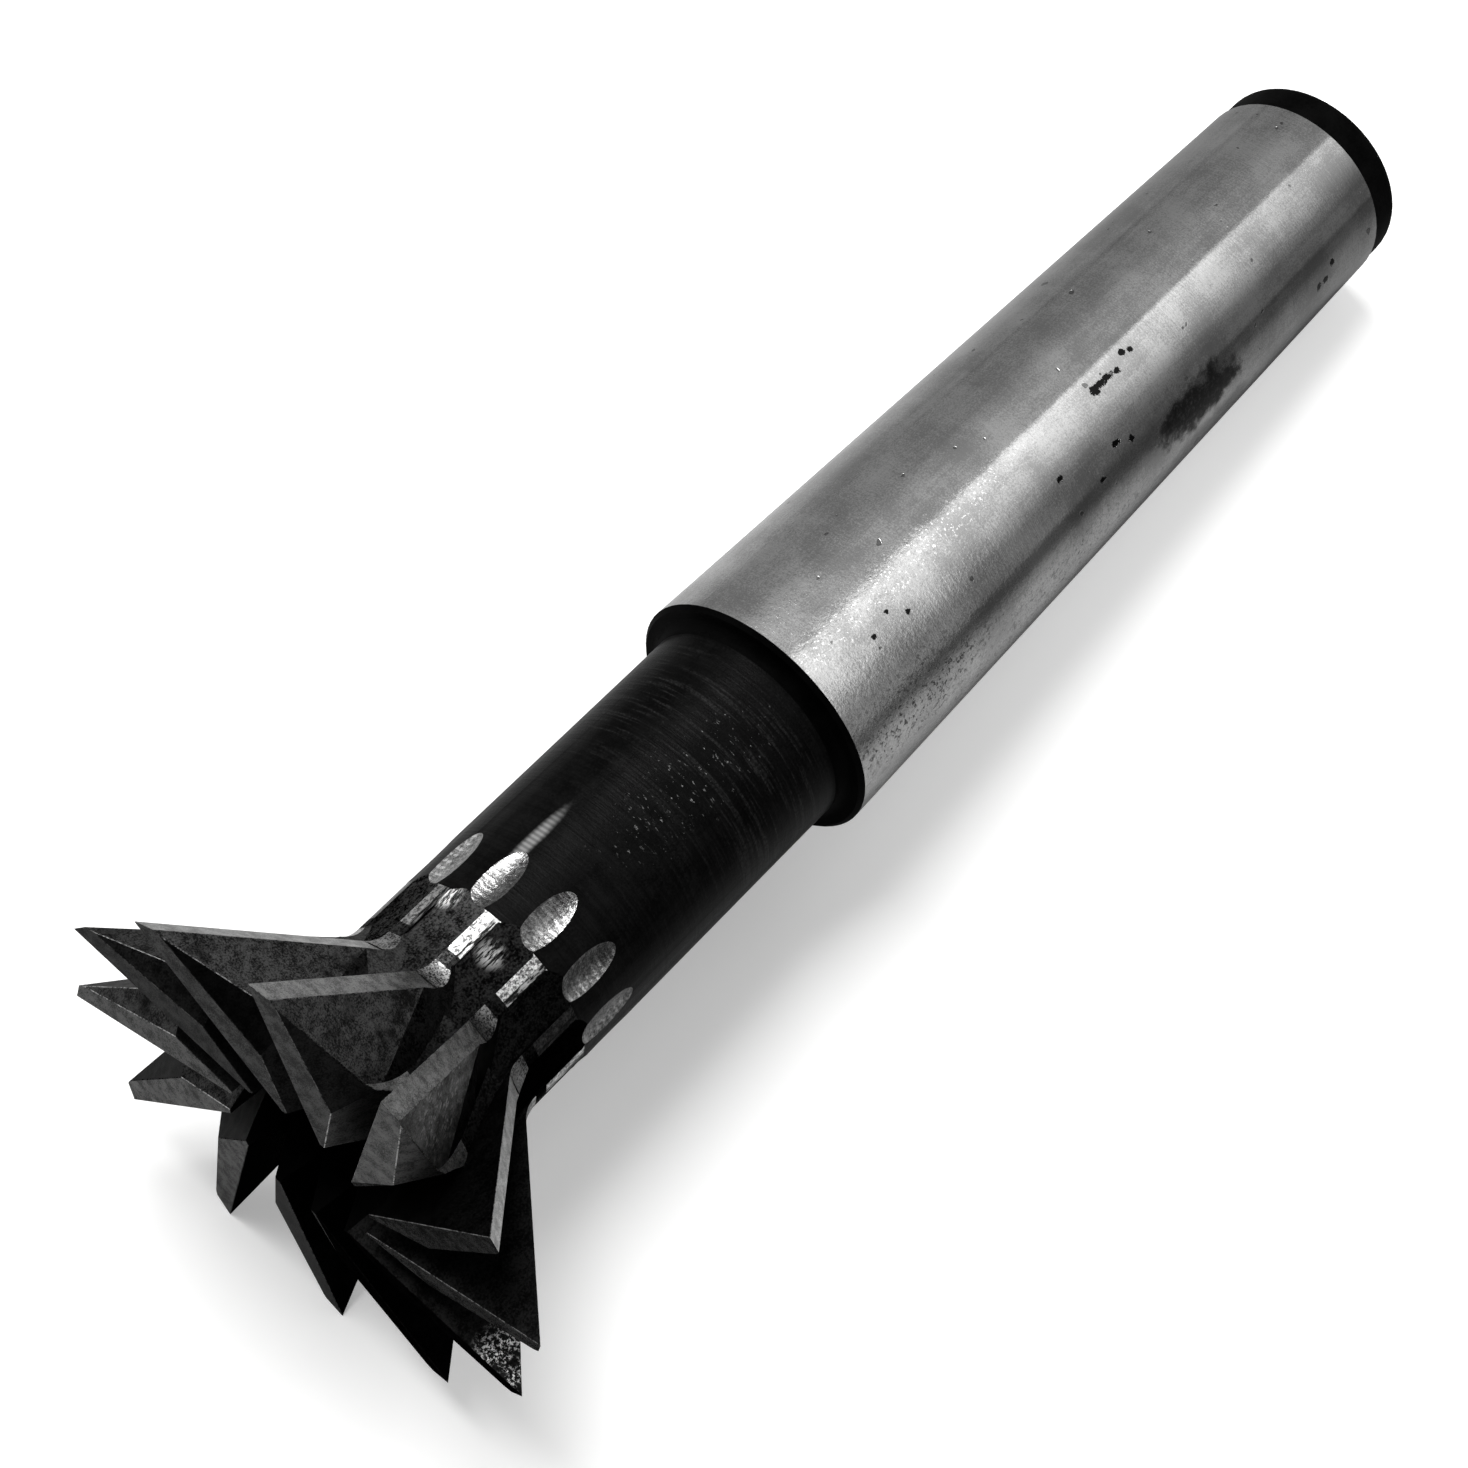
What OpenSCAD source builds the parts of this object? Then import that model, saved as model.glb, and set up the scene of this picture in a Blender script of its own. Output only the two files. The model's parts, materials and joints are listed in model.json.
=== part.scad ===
// Dovetail cutter: a solid milling cutter with a 45 degree dovetail head,
// a turned neck and a Morse taper shank with a drawbar thread.
// Millimetres. It lies as it rests on a bench: two neighbouring tooth tips and the
// small end of the taper touch the plane z = 0, and the shank points to +X.

/* [Head] */
// Diameter over the tooth tips
head_diameter = 50; // [44:0.5:56]
// Angle between the end face and the slanted side
dovetail_angle = 45; // [43:0.5:47]
// Number of teeth
tooth_count = 12; // [12:1:12]
// Distance of every rake face from the axis at the end face
rake_offset = 4.7; // [4.2:0.1:5.2]
// Tilt of the rake faces against the axis, degrees
rake_tilt = 7.2; // [5:0.2:9]
// Width of the ground land along the slanted edge
side_land = 1.9; // [1.5:0.1:2.3]
// Relief of that land, degrees
side_relief = 8; // [5:1:11]
// Angle from the land down to the tooth back, degrees
back_drop = 37; // [34:1:40]
// Width of the end land at the tip
end_land = 1.9; // [1.6:0.1:2.2]
// Width of the end land at its inner end
end_land_inner = 3.5; // [3:0.1:4]
// Relief of the end land, degrees
end_relief = 6; // [4:1:8]
// Steep relief behind the end land, degrees
end_back = 52; // [48:1:56]
// Width of the end gash at the recess
gash_width = 3.1; // [2.6:0.1:3.5]
// Slope of the gash wall, degrees
gash_slope = 61; // [58:1:64]
// Diameter of the recess in the end face
recess_diameter = 15; // [13.5:0.5:16]
// Depth of the recess
recess_depth = 9; // [8:0.5:11]

/* [Neck] */
// Neck diameter
neck_diameter = 20; // [19.6:0.1:20.6]
// Distance from the tips to the shoulder
shoulder_reach = 55; // [48:1:62]
// Radius where the head runs into the neck
root_radius = 3; // [2.4:0.2:3.4]
// Radius of the wheel that cut the flute floors
flute_wheel = 21; // [20.5:0.5:22]
// Depth of the flute run-out below the neck surface
runout_depth = 0.5; // [0.4:0.05:0.6]
// Width of the flute run-out on the neck
runout_width = 3.8; // [3.4:0.1:4]
// Depth of the leaf-shaped grinding mark behind each flute
leaf_depth = 0.32; // [0.26:0.02:0.38]

/* [Shank] */
// Large end of the Morse No. 3 taper
taper_diameter = 24.1; // [23.8:0.1:24.4]
// Length of taper per millimetre of diameter
taper_rate = 19.922; // [19.8:0.002:20.05]
// Length from the shoulder to the small end face
shank_length = 86; // [80:1:92]
// Length of the relieved band at the small end
band_length = 4; // [3:0.5:5]
// Depth of the band below the taper
band_step = 0.2; // [0.15:0.05:0.4]
// Chamfer on the shoulder edge
shoulder_chamfer = 0.4; // [0.3:0.1:0.8]

/* [Drawbar hole] */
// Bore of the M12 thread
thread_bore = 10.1; // [9.9:0.05:10.3]
// Depth of the tapped bore
thread_depth = 32; // [28:1:38]
// Width of the 60 degree centre at the mouth
centre_diameter = 12.6; // [12.3:0.1:13]
// Width of the recess that guards the centre
guard_diameter = 15; // [14:0.5:15.5]
// Depth of that recess
guard_depth = 1.2; // [0.8:0.1:1.6]

/* [Hidden] */

pitch = 360 / tooth_count;
head_radius = head_diameter / 2;
neck_radius = neck_diameter / 2;
cone_run = tan(dovetail_angle);
cone_length = (head_radius - neck_radius) * cone_run;
rake_slope = tan(rake_tilt);
recess_radius = recess_diameter / 2;
overall_length = shoulder_reach + shank_length;
band_start = overall_length - band_length;
taper_end_radius = taper_diameter / 2 - (shank_length - band_length) / taper_rate / 2;
band_radius = taper_end_radius - band_step;
band_round = 1.2;
reach = 60;

// Each tooth is described with X out from the axis, Y away from its rake face
// towards its back, and Z from the tips to the shank.
function unit(v) = v / norm(v);
function rake_y(z) = rake_offset - rake_slope * z;
function on_rake(r, z) = [sqrt(r * r - pow(rake_y(z), 2)), rake_y(z), z];
function tilt(n, axis, a) = n * cos(a) + cross(axis, n) * sin(a);
function ring(r, share, z) = [r * cos(lead + share * pitch), r * sin(lead + share * pitch), z];

tip = on_rake(head_radius, 0);
lead = asin(rake_offset / head_radius);
root = on_rake(neck_radius, cone_length);
edge = unit(root - tip);
rake_normal = unit([0, 1, rake_slope]);

middle = (tip + root) / 2;
radial = unit([middle.x, middle.y, 0]);
cone_normal = unit(radial * sin(dovetail_angle) + [0, 0, cos(dovetail_angle)]);
cone_square = unit(cone_normal - edge * (cone_normal * edge));
land_normal = tilt(cone_square, edge, side_relief);
land_across = cross(edge, land_normal);
back_point = tip + land_across * side_land;
back_normal = tilt(cone_square, edge, side_relief + back_drop);

// The heel is the small patch left standing where a land meets the neck.
heel_a = back_point + edge * (cone_length * 0.9) * sqrt(2);
heel_b = ring(neck_radius, 0.68, cone_length - 0.1);
heel_c = ring(neck_radius, 0.37, cone_length + 1.95);
heel_normal = unit(cross(heel_b - heel_a, heel_c - heel_a));

end_inner = on_rake(recess_radius, 0.12);
end_edge = unit(end_inner - tip);
end_normal = tilt([0, 0, -1], end_edge, -end_relief);
end_across = unit(cross(end_normal, end_edge));
fall_tip = tip + end_across * end_land;
fall_inner = end_inner + end_across * end_land_inner;
fall_edge = unit(fall_inner - fall_tip);
fall_normal = tilt([0, 0, -1], fall_edge, -end_back);

gash_point = [recess_radius, rake_offset - gash_width, 0];
gash_edge = unit([1, -0.106, 0]);
gash_normal = tilt([0, 0, -1], gash_edge, gash_slope);

wheel_z = cone_length + 3.2;
floor_depth = 0.35;
runout_turn = lead - 0.19 * pitch;
leaf_wheel = 18;
leaf_crown = 4;
leaf_z = cone_length + 9.6;
leaf_turn = lead - 0.05 * pitch;

// Lean of the axis when the cutter lies on two tips and the end of the taper.
tip_drop = head_radius * cos(pitch / 2);
lean = atan((tip_drop - taper_end_radius) / band_start);
front_x = -tip_drop * sin(lean);
rear_x = (overall_length - band_round) * cos(lean) + (band_radius - band_round) * sin(lean) + band_round;
shift_x = -(front_x + rear_x) / 2;
lift_z = tip_drop * cos(lean);

// Everything on the side of a plane that its normal points to.
module beyond(point, normal) {
  translate(point)
    rotate([0, acos(normal.z), atan2(normal.y, normal.x)])
      translate([-reach, -reach, 0])
        cube([2 * reach, 2 * reach, reach]);
}

// Space in front of a rake face.
module before_rake() {
  beyond(tip, -rake_normal);
}

// Turned blank: head, neck, shoulder, taper and band.
module blank() {
  turn = 90 - dovetail_angle;
  run = root_radius * tan(turn / 2);
  shoulder_round = 1;
  rotate_extrude($fn = 96)
    difference() {
      union() {
        polygon([
          [0, 0],
          [head_radius, 0],
          [neck_radius, cone_length],
          [neck_radius, shoulder_reach],
          [taper_diameter / 2 - shoulder_chamfer, shoulder_reach],
          [taper_diameter / 2, shoulder_reach + shoulder_chamfer],
          [taper_end_radius, band_start],
          [band_radius, band_start + band_step * 0.6],
          [band_radius, overall_length],
          [0, overall_length]]);
        difference() {
          polygon([
            [neck_radius - 0.5, cone_length - run * cos(turn)],
            [neck_radius + run * sin(turn), cone_length - run * cos(turn)],
            [neck_radius, cone_length + run],
            [neck_radius - 0.5, cone_length + run]]);
          translate([neck_radius + root_radius, cone_length + run])
            circle(r = root_radius, $fn = 96);
        }
        difference() {
          translate([neck_radius - 0.5, shoulder_reach - shoulder_round])
            square([shoulder_round + 0.5, shoulder_round + 0.2]);
          translate([neck_radius + shoulder_round, shoulder_reach - shoulder_round])
            circle(r = shoulder_round, $fn = 48);
        }
      }
      difference() {
        translate([band_radius - band_round, overall_length - band_round])
          square([band_round + 1, band_round + 1]);
        translate([band_radius - band_round, overall_length - band_round])
          circle(r = band_round, $fn = 48);
      }
    }
}

// Cylinder swept by the rim of the flute wheel, seen from the tooth behind it.
module wheel_sweep(depth, from, to) {
  translate([neck_radius - depth + flute_wheel, to, wheel_z])
    rotate([90, 0, 0])
      cylinder(h = to - from, r = flute_wheel, $fn = 96);
}

// Flute between this tooth and the next one.
module flute() {
  intersection() {
    rotate([0, 0, pitch]) before_rake();
    beyond(back_point, back_normal);
    beyond(heel_a, heel_normal);
    rotate([0, 0, pitch]) wheel_sweep(floor_depth, -16, 7);
    translate([-reach, -reach, -5]) cube([2 * reach, 2 * reach, cone_length + 6.6]);
  }
}

// Shallow end of the flute on the neck.
module runout() {
  intersection() {
    rotate([0, 0, pitch + runout_turn]) wheel_sweep(runout_depth, -runout_width / 2, runout_width / 2);
    beyond(heel_a, heel_normal);
    translate([-reach, -reach, cone_length - 1.8]) cube([2 * reach, 2 * reach, 30]);
  }
}

// Leaf-shaped mark left by the grinding wheel behind the flute.
module leaf() {
  rotate([0, 0, leaf_turn])
    translate([neck_radius - leaf_depth + leaf_wheel, 0, leaf_z])
      rotate([90, 0, 0])
        rotate_extrude($fn = 96)
          translate([leaf_wheel - leaf_crown, 0])
            circle(r = leaf_crown, $fn = 48);
}

// Relief of the slanted land.
module side_relief_cut() {
  intersection() {
    beyond(tip, land_normal);
    translate([0, -8, -5]) cube([40, 30, cone_length + 4.1]);
  }
}

// Relief of the end land, and the steeper fall behind it.
module end_relief_cut() {
  intersection() {
    union() {
      beyond(tip, end_normal);
      beyond(fall_tip, fall_normal);
    }
    rotate([0, 0, pitch]) before_rake();
    translate([0, 0, -5]) cube([40, 40, 14]);
  }
}

// Gash that opens the end face in front of the next tooth.
module end_gash() {
  intersection() {
    rotate([0, 0, pitch]) before_rake();
    rotate([0, 0, pitch]) beyond(gash_point, gash_normal);
    rotate([0, 0, pitch]) translate([2, -12, -5]) cube([30, 24, 13]);
  }
}

// Recess and centre in the end face.
module end_recess() {
  translate([0, 0, -1]) cylinder(h = recess_depth + 1, r = recess_radius, $fn = 64);
  translate([0, 0, recess_depth - 0.01]) cylinder(h = 3.5, r1 = 3.6, r2 = 1.6, $fn = 48);
  translate([0, 0, recess_depth]) cylinder(h = 6, r = 1.6, $fn = 32);
}

// Tapped drawbar hole with its centre and guard recess.
module drawbar_hole() {
  centre_run = (centre_diameter - thread_bore) / 2 / tan(30);
  translate([0, 0, overall_length - thread_depth])
    cylinder(h = thread_depth + 1, r = thread_bore / 2, $fn = 64);
  translate([0, 0, overall_length - thread_depth - 2.9])
    cylinder(h = 2.9, r1 = 0.05, r2 = thread_bore / 2, $fn = 64);
  translate([0, 0, overall_length - guard_depth - centre_run])
    cylinder(h = centre_run, r1 = thread_bore / 2, r2 = centre_diameter / 2, $fn = 64);
  translate([0, 0, overall_length - guard_depth])
    cylinder(h = guard_depth + 1, r = guard_diameter / 2, $fn = 64);
}

module cutter_upright() {
  difference() {
    blank();
    for (i = [0:tooth_count - 1])
      rotate([0, 0, i * pitch]) {
        flute();
        runout();
        leaf();
        side_relief_cut();
        end_relief_cut();
        end_gash();
      }
    end_recess();
    drawbar_hole();
  }
}

module dovetail_cutter() {
  color([0.42, 0.43, 0.45])
    translate([shift_x, 0, lift_z])
      rotate([0, 90 + lean, 0])
        rotate([0, 0, -lead + pitch / 2])
          cutter_upright();
}

dovetail_cutter();
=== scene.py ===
"""Looks of the dovetail cutter: a 45 degree toothed head, an oxide-black neck and a ground Morse taper."""

import json
import math

import bmesh
import bpy
from mathutils import Matrix, Vector


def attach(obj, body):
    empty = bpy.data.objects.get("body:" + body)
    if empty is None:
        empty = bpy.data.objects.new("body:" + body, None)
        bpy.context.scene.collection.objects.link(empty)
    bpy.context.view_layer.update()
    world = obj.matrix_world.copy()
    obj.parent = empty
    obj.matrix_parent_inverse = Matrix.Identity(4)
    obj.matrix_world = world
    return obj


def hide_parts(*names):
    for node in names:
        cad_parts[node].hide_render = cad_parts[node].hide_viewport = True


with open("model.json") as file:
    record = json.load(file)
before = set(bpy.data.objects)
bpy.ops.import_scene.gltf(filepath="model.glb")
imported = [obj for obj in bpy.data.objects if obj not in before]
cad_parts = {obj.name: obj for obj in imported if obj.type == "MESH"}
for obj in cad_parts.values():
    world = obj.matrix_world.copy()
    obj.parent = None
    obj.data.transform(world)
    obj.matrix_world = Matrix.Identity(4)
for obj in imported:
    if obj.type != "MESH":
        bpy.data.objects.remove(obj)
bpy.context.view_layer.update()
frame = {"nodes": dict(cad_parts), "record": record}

MM = 0.001

# Sizes of the cutter in millimetres, measured from the plane of the tooth tips
HEAD_RADIUS = 25.0
NECK_RADIUS = 10.0
CONE_LENGTH = 15.0
SHOULDER = 55.0
SHOULDER_CHAMFER = 0.4
BAND_START = 137.0
OVERALL = 141.0
TAPER_RADIUS = 12.05
RECESS_RADIUS = 7.5
RAKE_OFFSET = 4.7
BORE_RADIUS = 5.05
BORE_TOP = 137.6
BORE_BOTTOM = 109.0
TEETH = 12
PITCH = 2 * math.pi / TEETH
LEAD = math.asin(RAKE_OFFSET / HEAD_RADIUS)

# The tips' plane and the axis come from the taper mount of the record
taper_mount = next(m for m in frame["record"]["mounts"] if m["name"] == "taper")
axis = Vector(taper_mount["axis"]).normalized()
across = Vector((0, 1, 0))
tips_centre = Vector(taper_mount["pos_m"]) - axis * (SHOULDER + 43.0) * MM
LEAN = math.asin(-axis.z)
TURN = -LEAD + PITCH / 2

# Wheels that ground the neck: flute floors, their run-outs and the leaf marks
ROOT_RADIUS = 3.0
ROOT_START = CONE_LENGTH + ROOT_RADIUS * math.tan(math.pi / 8)
WHEEL_Z = CONE_LENGTH + 3.2
FLUTE_WHEEL = 21.0
FLOOR_DEPTH = 0.35
RUNOUT_DEPTH = 0.5
RUNOUT_HALF = 1.9
RUNOUT_TURN = LEAD - 0.19 * PITCH
LEAF_TURN = LEAD - 0.05 * PITCH
LEAF_WHEEL = 18.0
LEAF_CROWN = 4.0
LEAF_DEPTH = 0.32
LEAF_Z = CONE_LENGTH + 9.6
STRIP_START = CONE_LENGTH + 2.5
STRIP_END = CONE_LENGTH + 7.0

# Worn places and painted highlights in millimetres, along the axis in Z, before the turn of the teeth
SCRATCHED_BACK = (-16.0, -8.5, 6.5)
GRAINY_TIP = (7.8, -21.2, 1.8)
# Painted highlights: centres of the bright strokes on two run-outs
RUNOUT_HIGHLIGHT_SPOTS = ((-8.2, 4.95, 21.5), (-9.55, -1.0, 19.6))

# Coarse thread of the drawbar hole
THREAD_PITCH = 1.75
THREAD_DEPTH = 0.95


# Tool frame: X outwards through the first tooth, Z from the tips along the axis, millimetres
def tool_matrix():
    place = Matrix.Translation(tips_centre)
    lie = Matrix.Rotation(math.pi / 2 + LEAN, 4, "Y")
    turn = Matrix.Rotation(TURN, 4, "Z")
    return place @ lie @ turn @ Matrix.Scale(MM, 4)


TOOL = tool_matrix()
TO_TOOL = TOOL.inverted()


# Shader helpers
def node_group(name, inputs, outputs):
    group = bpy.data.node_groups.new(name, "ShaderNodeTree")
    for socket, kind, value in inputs:
        made = group.interface.new_socket(name=socket, in_out="INPUT", socket_type=kind)
        if value is not None:
            made.default_value = value
    for socket, kind in outputs:
        group.interface.new_socket(name=socket, in_out="OUTPUT", socket_type=kind)
    return group


class Wiring:
    """Adds nodes to one tree and joins them."""

    def __init__(self, tree):
        self.tree = tree

    def add(self, kind, inputs=None, **settings):
        node = self.tree.nodes.new(kind)
        for key, value in settings.items():
            setattr(node, key, value)
        for key, value in (inputs or {}).items():
            self.feed(node.inputs[key], value)
        return node

    def feed(self, socket, value):
        if isinstance(value, bpy.types.NodeSocket):
            self.tree.links.new(value, socket)
        else:
            socket.default_value = value

    def math(self, operation, a, b=0.0, c=0.0, clamp=False):
        node = self.add("ShaderNodeMath", operation=operation, use_clamp=clamp)
        for socket, value in zip(node.inputs, (a, b, c)):
            self.feed(socket, value)
        return node.outputs[0]

    def span(self, value, low, high, out_low=0.0, out_high=1.0):
        node = self.add("ShaderNodeMapRange", interpolation_type="SMOOTHSTEP")
        for key, given in (("Value", value), ("From Min", low), ("From Max", high), ("To Min", out_low), ("To Max", out_high)):
            self.feed(node.inputs[key], given)
        return node.outputs["Result"]

    def blend(self, factor, a, b):
        node = self.add("ShaderNodeMix", data_type="RGBA")
        self.feed(node.inputs["Factor"], factor)
        self.feed(node.inputs[6], a)
        self.feed(node.inputs[7], b)
        return node.outputs[2]

    def noise(self, vector, scale, detail=2.0, rough=0.5):
        node = self.add("ShaderNodeTexNoise", {"Vector": vector, "Scale": scale, "Detail": detail, "Roughness": rough})
        return node.outputs["Fac"]


def grey(value):
    return (value, value, value * 0.995, 1.0)


# Place on the cutter: distance along the axis, radius, turn and degrees aside of the nearest leaf
def place_on_cutter():
    group = node_group(
        "Place on cutter",
        [("Vector", "NodeSocketVector", None)],
        [
            ("Along", "NodeSocketFloat"),
            ("Radius", "NodeSocketFloat"),
            ("Turn", "NodeSocketFloat"),
            ("Aside", "NodeSocketFloat"),
            ("Wrapped", "NodeSocketVector"),
            ("Tool", "NodeSocketVector"),
        ],
    )
    w = Wiring(group)
    inside = w.add("NodeGroupInput")
    outside = w.add("NodeGroupOutput")
    moved = w.add("ShaderNodeVectorMath", {0: inside.outputs["Vector"], 1: tips_centre}, operation="SUBTRACT")
    turned = w.add(
        "ShaderNodeMapping",
        {"Vector": moved.outputs[0], "Rotation": (0, -(math.pi / 2 + LEAN), 0), "Scale": (1000, 1000, 1000)},
        vector_type="POINT",
    )
    parts = w.add("ShaderNodeSeparateXYZ", {0: turned.outputs[0]})
    x, y, z = parts.outputs
    radius = w.math("SQRT", w.math("ADD", w.math("MULTIPLY", x, x), w.math("MULTIPLY", y, y)))
    turn = w.math("DEGREES", w.math("ARCTAN2", y, w.math("MULTIPLY", x, -1.0)))
    first_leaf = math.degrees(math.pi - TURN - LEAF_TURN + PITCH / 2)
    behind = w.math("FLOORED_MODULO", w.math("SUBTRACT", first_leaf, turn), math.degrees(PITCH))
    wrapped = w.add(
        "ShaderNodeCombineXYZ",
        {"X": w.math("DIVIDE", x, radius), "Y": w.math("DIVIDE", y, radius), "Z": z},
    )
    w.feed(outside.inputs["Along"], z)
    w.feed(outside.inputs["Radius"], radius)
    w.feed(outside.inputs["Turn"], turn)
    w.feed(outside.inputs["Aside"], w.math("SUBTRACT", behind, math.degrees(PITCH / 2)))
    w.feed(outside.inputs["Wrapped"], wrapped.outputs[0])
    w.feed(outside.inputs["Tool"], turned.outputs[0])
    return group


CUTTER_PLACE = place_on_cutter()


# Fine lines left by turning or cylindrical grinding, round the axis
def grinding_rings():
    group = node_group(
        "Grinding rings",
        [
            ("Vector", "NodeSocketVector", None),
            ("Lines per mm", "NodeSocketFloat", 8.0),
            ("Length", "NodeSocketFloat", 6.0),
        ],
        [("Lines", "NodeSocketFloat")],
    )
    w = Wiring(group)
    inside = w.add("NodeGroupInput")
    outside = w.add("NodeGroupOutput")
    parts = w.add("ShaderNodeSeparateXYZ", {0: inside.outputs["Vector"]})
    stretched = w.add(
        "ShaderNodeCombineXYZ",
        {
            "X": w.math("MULTIPLY", parts.outputs[0], inside.outputs["Length"]),
            "Y": w.math("MULTIPLY", parts.outputs[1], inside.outputs["Length"]),
            "Z": w.math("MULTIPLY", parts.outputs[2], inside.outputs["Lines per mm"]),
        },
    )
    w.feed(outside.inputs["Lines"], w.noise(stretched.outputs[0], 1.0, 3.0, 0.6))
    return group


GRINDING_RINGS = grinding_rings()


# Dark mottling, fine pits and worn spots on hard used steel
def mottling():
    group = node_group(
        "Mottling",
        [
            ("Vector", "NodeSocketVector", None),
            ("Blotch size mm", "NodeSocketFloat", 3.0),
            ("Grain size mm", "NodeSocketFloat", 0.25),
            ("Grain", "NodeSocketFloat", 0.5),
        ],
        [("Shade", "NodeSocketFloat"), ("Grain", "NodeSocketFloat")],
    )
    w = Wiring(group)
    inside = w.add("NodeGroupInput")
    outside = w.add("NodeGroupOutput")
    blotch_scale = w.math("DIVIDE", 1.0, inside.outputs["Blotch size mm"])
    grain_scale = w.math("DIVIDE", 1.0, inside.outputs["Grain size mm"])
    blotches = w.noise(inside.outputs["Vector"], blotch_scale, 4.0, 0.6)
    grain = w.noise(inside.outputs["Vector"], grain_scale, 3.0, 0.7)
    shade = w.math("ADD", blotches, w.math("MULTIPLY", w.math("SUBTRACT", grain, 0.5), inside.outputs["Grain"]))
    w.feed(outside.inputs["Shade"], w.span(shade, 0.25, 0.75))
    w.feed(outside.inputs["Grain"], grain)
    return group


MOTTLING = mottling()


def start_material(name):
    made = bpy.data.materials.new(name)
    made.use_nodes = True
    made.node_tree.nodes.clear()
    w = Wiring(made.node_tree)
    shader = w.add("ShaderNodeBsdfPrincipled")
    out = w.add("ShaderNodeOutputMaterial")
    w.tree.links.new(shader.outputs[0], out.inputs["Surface"])
    coordinates = w.add("ShaderNodeTexCoord")
    place = w.add("ShaderNodeGroup", node_tree=CUTTER_PLACE)
    w.feed(place.inputs["Vector"], coordinates.outputs["Object"])
    return made, w, shader, place


# Painted light and shade: each tooth's surfaces are made lighter or darker by their own amount, for how the light
# falls on them; the amount is kept on the faces
def painted_light_toned(w, colour):
    painted_light_tone = w.add("ShaderNodeAttribute", attribute_name="painted_light_tone", attribute_type="GEOMETRY")
    shade = w.add("ShaderNodeVectorMath", {0: colour, 1: painted_light_tone.outputs["Color"]}, operation="MULTIPLY")
    return shade.outputs[0]


def bump(w, shader, height, depth_mm, strength=1.0):
    node = w.add("ShaderNodeBump", {"Height": height, "Distance": depth_mm * MM, "Strength": strength})
    w.feed(shader.inputs["Normal"], node.outputs[0])


def group_in(w, tree, **inputs):
    node = w.add("ShaderNodeGroup", node_tree=tree)
    for key, value in inputs.items():
        w.feed(node.inputs[key.replace("_", " ")], value)
    return node


# A patch round one place on the turned surface, ragged at its rim
def wear_patch():
    group = node_group(
        "Wear patch",
        [
            ("Along", "NodeSocketFloat", 0.0),
            ("Turn", "NodeSocketFloat", 0.0),
            ("Ragged", "NodeSocketFloat", 0.5),
            ("Centre along", "NodeSocketFloat", 0.0),
            ("Centre turn", "NodeSocketFloat", 0.0),
            ("Half length", "NodeSocketFloat", 5.0),
            ("Half turn", "NodeSocketFloat", 15.0),
            ("Raggedness", "NodeSocketFloat", 1.0),
            ("Softness", "NodeSocketFloat", 0.3),
        ],
        [("Patch", "NodeSocketFloat")],
    )
    w = Wiring(group)
    inside = w.add("NodeGroupInput").outputs
    outside = w.add("NodeGroupOutput")
    far = w.math("DIVIDE", w.math("SUBTRACT", inside["Along"], inside["Centre along"]), inside["Half length"])
    aside = w.math("DIVIDE", w.math("SUBTRACT", inside["Turn"], inside["Centre turn"]), inside["Half turn"])
    reach = w.math("SQRT", w.math("ADD", w.math("MULTIPLY", far, far), w.math("MULTIPLY", aside, aside)))
    rough = w.math("MULTIPLY", w.math("SUBTRACT", inside["Ragged"], 0.5), inside["Raggedness"])
    edge = w.math("ADD", reach, rough)
    low = w.math("SUBTRACT", 1.0, inside["Softness"])
    high = w.math("ADD", 1.0, inside["Softness"])
    w.feed(outside.inputs["Patch"], w.span(edge, low, high, 1.0, 0.0))
    return group


WEAR_PATCH = wear_patch()


def patch(w, place, ragged, along, turn, length, width, raggedness=1.0, softness=0.3):
    node = w.add("ShaderNodeGroup", node_tree=WEAR_PATCH)
    w.feed(node.inputs["Along"], place.outputs["Along"])
    w.feed(node.inputs["Turn"], place.outputs["Turn"])
    w.feed(node.inputs["Ragged"], ragged)
    for key, value in (("Centre along", along), ("Centre turn", turn), ("Half length", length), ("Half turn", width), ("Raggedness", raggedness), ("Softness", softness)):
        node.inputs[key].default_value = value
    return node.outputs["Patch"]


# Rust pits of the taper: along, turn, half length and half width
PITS = (
    (96.5, -15.4, 0.6, 2.2),
    (97.5, -15.0, 0.7, 1.6),
    (98.5, -14.9, 0.7, 1.5),
    (99.8, -15.9, 0.4, 1.4),
    (101.5, -11.2, 0.35, 1.7),
    (102.4, -13.2, 0.25, 1.4),
    (95.0, -40.3, 0.55, 1.6),
    (96.9, -44.6, 0.4, 1.8),
    (87.5, -32.9, 0.4, 1.4),
    (91.9, -49.3, 0.35, 1.5),
    (66.8, -26.1, 0.25, 1.0),
    (65.1, -19.8, 0.22, 0.9),
    (62.6, -23.7, 0.28, 1.0),
    (129.1, -60.1, 0.4, 1.8),
    (127.8, -66.6, 0.4, 1.8),
    (126.7, -67.0, 0.3, 2.4),
)
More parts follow.
